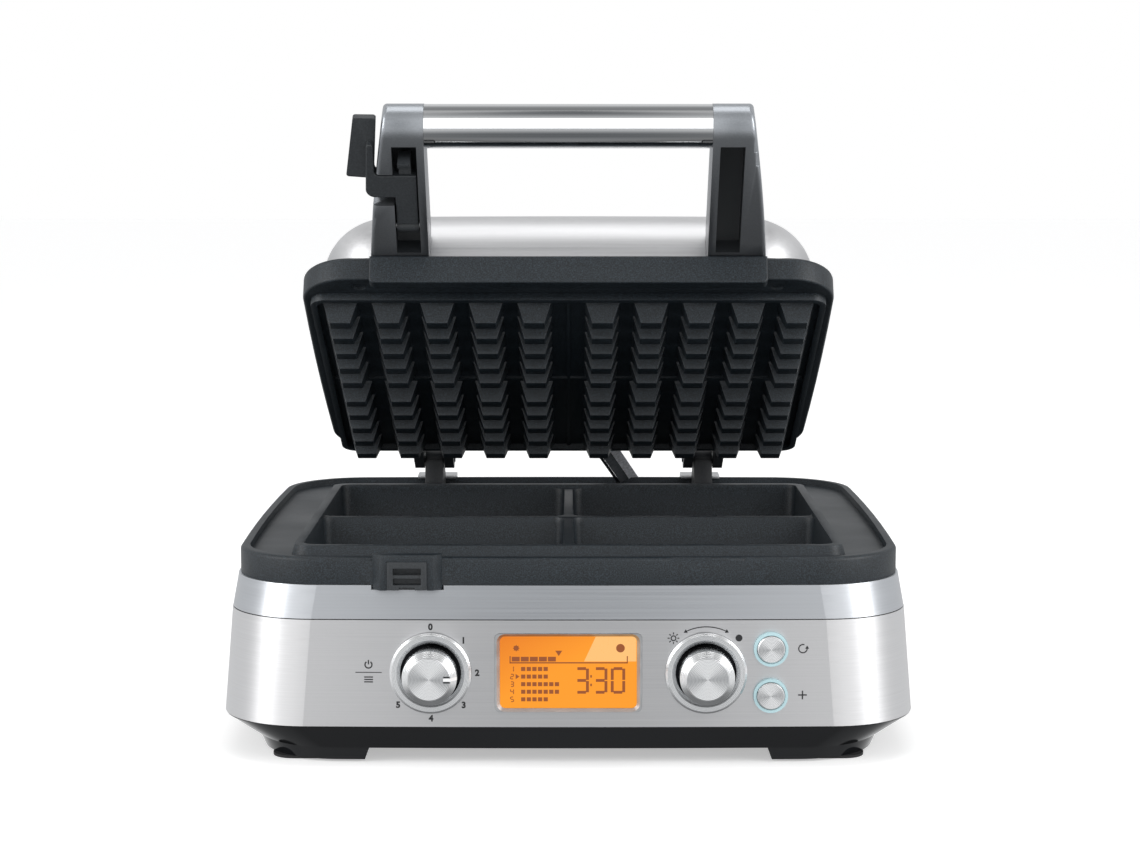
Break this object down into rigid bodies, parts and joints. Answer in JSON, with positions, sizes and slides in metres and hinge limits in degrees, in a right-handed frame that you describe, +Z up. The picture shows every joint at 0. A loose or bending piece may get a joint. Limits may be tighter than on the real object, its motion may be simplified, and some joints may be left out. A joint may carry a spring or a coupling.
{
  "type": "waffle maker",
  "caption": "Square waffle maker with a lift-up hinged lid, studded cooking plates, drip moat, carry handle with latch, dial controls, buttons and an amber display.",
  "frame": {"origin": "middle of the base, on the plane that the feet stand on", "axes": "+Z up, front with the controls towards -Y, hinge line along X"},
  "size_m": [0.392, 0.367, 0.3612],
  "materials": {
    "brushed_steel": "horizontal brushed stainless sheet",
    "satin_steel": "satin stainless, softly shaded",
    "cast_coating": "die cast, dark sandy non-stick coating",
    "gloss_black": "moulded gloss black",
    "rubber": "matt rubber",
    "polished_steel": "polished tube",
    "bezel_metal": "turned and polished ring",
    "spun_metal": "spun face with circular grain",
    "cast_satin": "satin painted die casting",
    "latch_plastic": "fine grained dark plastic",
    "amber_glass": "backlit amber window",
    "light_ring": "translucent light ring",
    "hinge_black": "black coated steel",
    "zinc_plate": "zinc plated steel",
    "heater_tube": "heat darkened steel sheath",
    "board_green": "printed circuit board",
    "part_grey": "moulded component bodies",
    "white_nylon": "natural nylon",
    "wire_sleeve": "woven glass sleeve",
    "conduit_metal": "drawn metal conduit"
  },
  "bodies": {
    "base": {"base_pan": "gloss_black", "base_screws": "zinc_plate", "base_wrap": "brushed_steel", "browning_encoder": "zinc_plate", "button_light_rings": "light_ring", "button_switches": "part_grey", "buzzer": "part_grey", "control_board": "board_green", "control_carrier": "part_grey", "cord_gland": "latch_plastic", "dial_bezel_left": "bezel_metal", "dial_bezel_right": "bezel_metal", "display_bezel": "bezel_metal", "display_module": "part_grey", "display_window": "amber_glass", "foot_pads": "rubber", "hinge_anchor_plates": "zinc_plate", "hinge_pins": "zinc_plate", "hinge_post_left": "hinge_black", "hinge_post_right": "hinge_black", "hinge_screws": "zinc_plate", "latch_catch": "latch_plastic", "lower_heat_shield": "zinc_plate", "lower_heating_element": "heater_tube", "lower_plate": "cast_coating", "lower_plate_screws": "zinc_plate", "lower_temperature_probe": "zinc_plate", "lower_thermal_fuse": "wire_sleeve", "mains_wiring": "wire_sleeve", "moat_rim": "cast_coating", "power_board": "board_green", "power_board_parts": "part_grey", "power_conduit": "conduit_metal", "selector_encoder": "zinc_plate", "shoulder_band": "satin_steel"},
    "lid": {"lid_rim": "cast_coating", "lid_cover": "brushed_steel", "upper_plate": "cast_coating", "upper_heating_element": "heater_tube", "upper_heat_shield": "zinc_plate", "upper_plate_screws": "zinc_plate", "upper_temperature_probe": "zinc_plate", "upper_thermal_fuse": "wire_sleeve", "hinge_lugs_left": "hinge_black", "hinge_lugs_right": "hinge_black", "handle_bracket": "cast_coating", "handle_arm_left": "cast_satin", "handle_arm_right": "cast_satin", "handle_tube": "polished_steel", "handle_tube_plugs": "latch_plastic", "handle_tie_rod": "zinc_plate", "latch_pin": "zinc_plate"},
    "latch": {"latch_lever": "latch_plastic"},
    "selector_dial": {"selector_knob": "bezel_metal", "selector_knob_cap": "spun_metal"},
    "browning_dial": {"browning_knob": "bezel_metal", "browning_knob_cap": "spun_metal"},
    "restart_key": {"restart_button": "spun_metal"},
    "more_key": {"more_button": "spun_metal"}
  },
  "joints": [
    {"name": "lid_hinge", "type": "hinge", "parent": "base", "child": "lid", "pos_m": [0, 0.1248, 0.1338], "axis": [-1, 0, 0], "range_deg": [-29.4, 75], "deforming": ["power_conduit"]},
    {"name": "latch_pivot", "type": "hinge", "parent": "lid", "child": "latch", "pos_m": [-0.0875, -0.13316, 0.29596], "axis": [1, 0, 0], "range_deg": [0, 122]},
    {"name": "selector_turn", "type": "hinge", "parent": "base", "child": "selector_dial", "pos_m": [-0.0752, -0.172, 0.053], "axis": [0, 1, 0], "range_deg": [-90, 135]},
    {"name": "browning_turn", "type": "hinge", "parent": "base", "child": "browning_dial", "pos_m": [0.0752, -0.172, 0.053], "axis": [0, 1, 0], "continuous": true},
    {"name": "restart_press", "type": "slide", "parent": "base", "child": "restart_key", "axis": [0, 1, 0], "range_m": [0, 0.0012], "stiffness_N_per_m": 900, "springref_m": -0.001},
    {"name": "more_press", "type": "slide", "parent": "base", "child": "more_key", "axis": [0, 1, 0], "range_m": [0, 0.0012], "stiffness_N_per_m": 900, "springref_m": -0.001}
  ]
}
